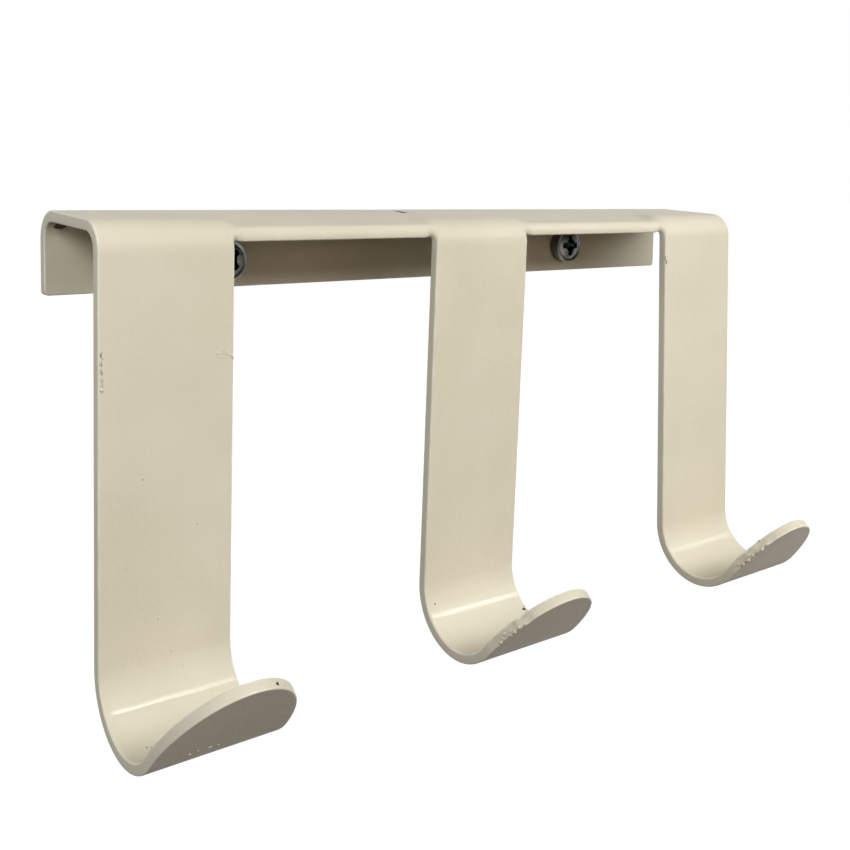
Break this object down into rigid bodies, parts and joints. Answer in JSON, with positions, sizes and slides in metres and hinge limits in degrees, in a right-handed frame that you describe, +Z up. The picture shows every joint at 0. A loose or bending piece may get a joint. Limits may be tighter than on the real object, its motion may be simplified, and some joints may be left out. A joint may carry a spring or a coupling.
{
  "type": "wall hook rack",
  "caption": "Folded painted-steel hook rack: a short back flange and a flat top carry hanging strips that curl forward into round-ended hooks, fixed by pan-head screws through the flange.",
  "frame": {"origin": "on the back face of the flange, midway between the two screw axes", "axes": "+X along the rack, +Y out of the back of the flange into the wall, +Z up"},
  "size_m": [0.2, 0.0866, 0.1085],
  "materials": {
    "painted_sheet": "gloss cream powder coat with small chips",
    "zinc_screw": "dull zinc plate"
  },
  "bodies": {
    "root": {"hook_rack": "painted_sheet", "mounting_screws": "zinc_screw"}
  },
  "joints": []
}
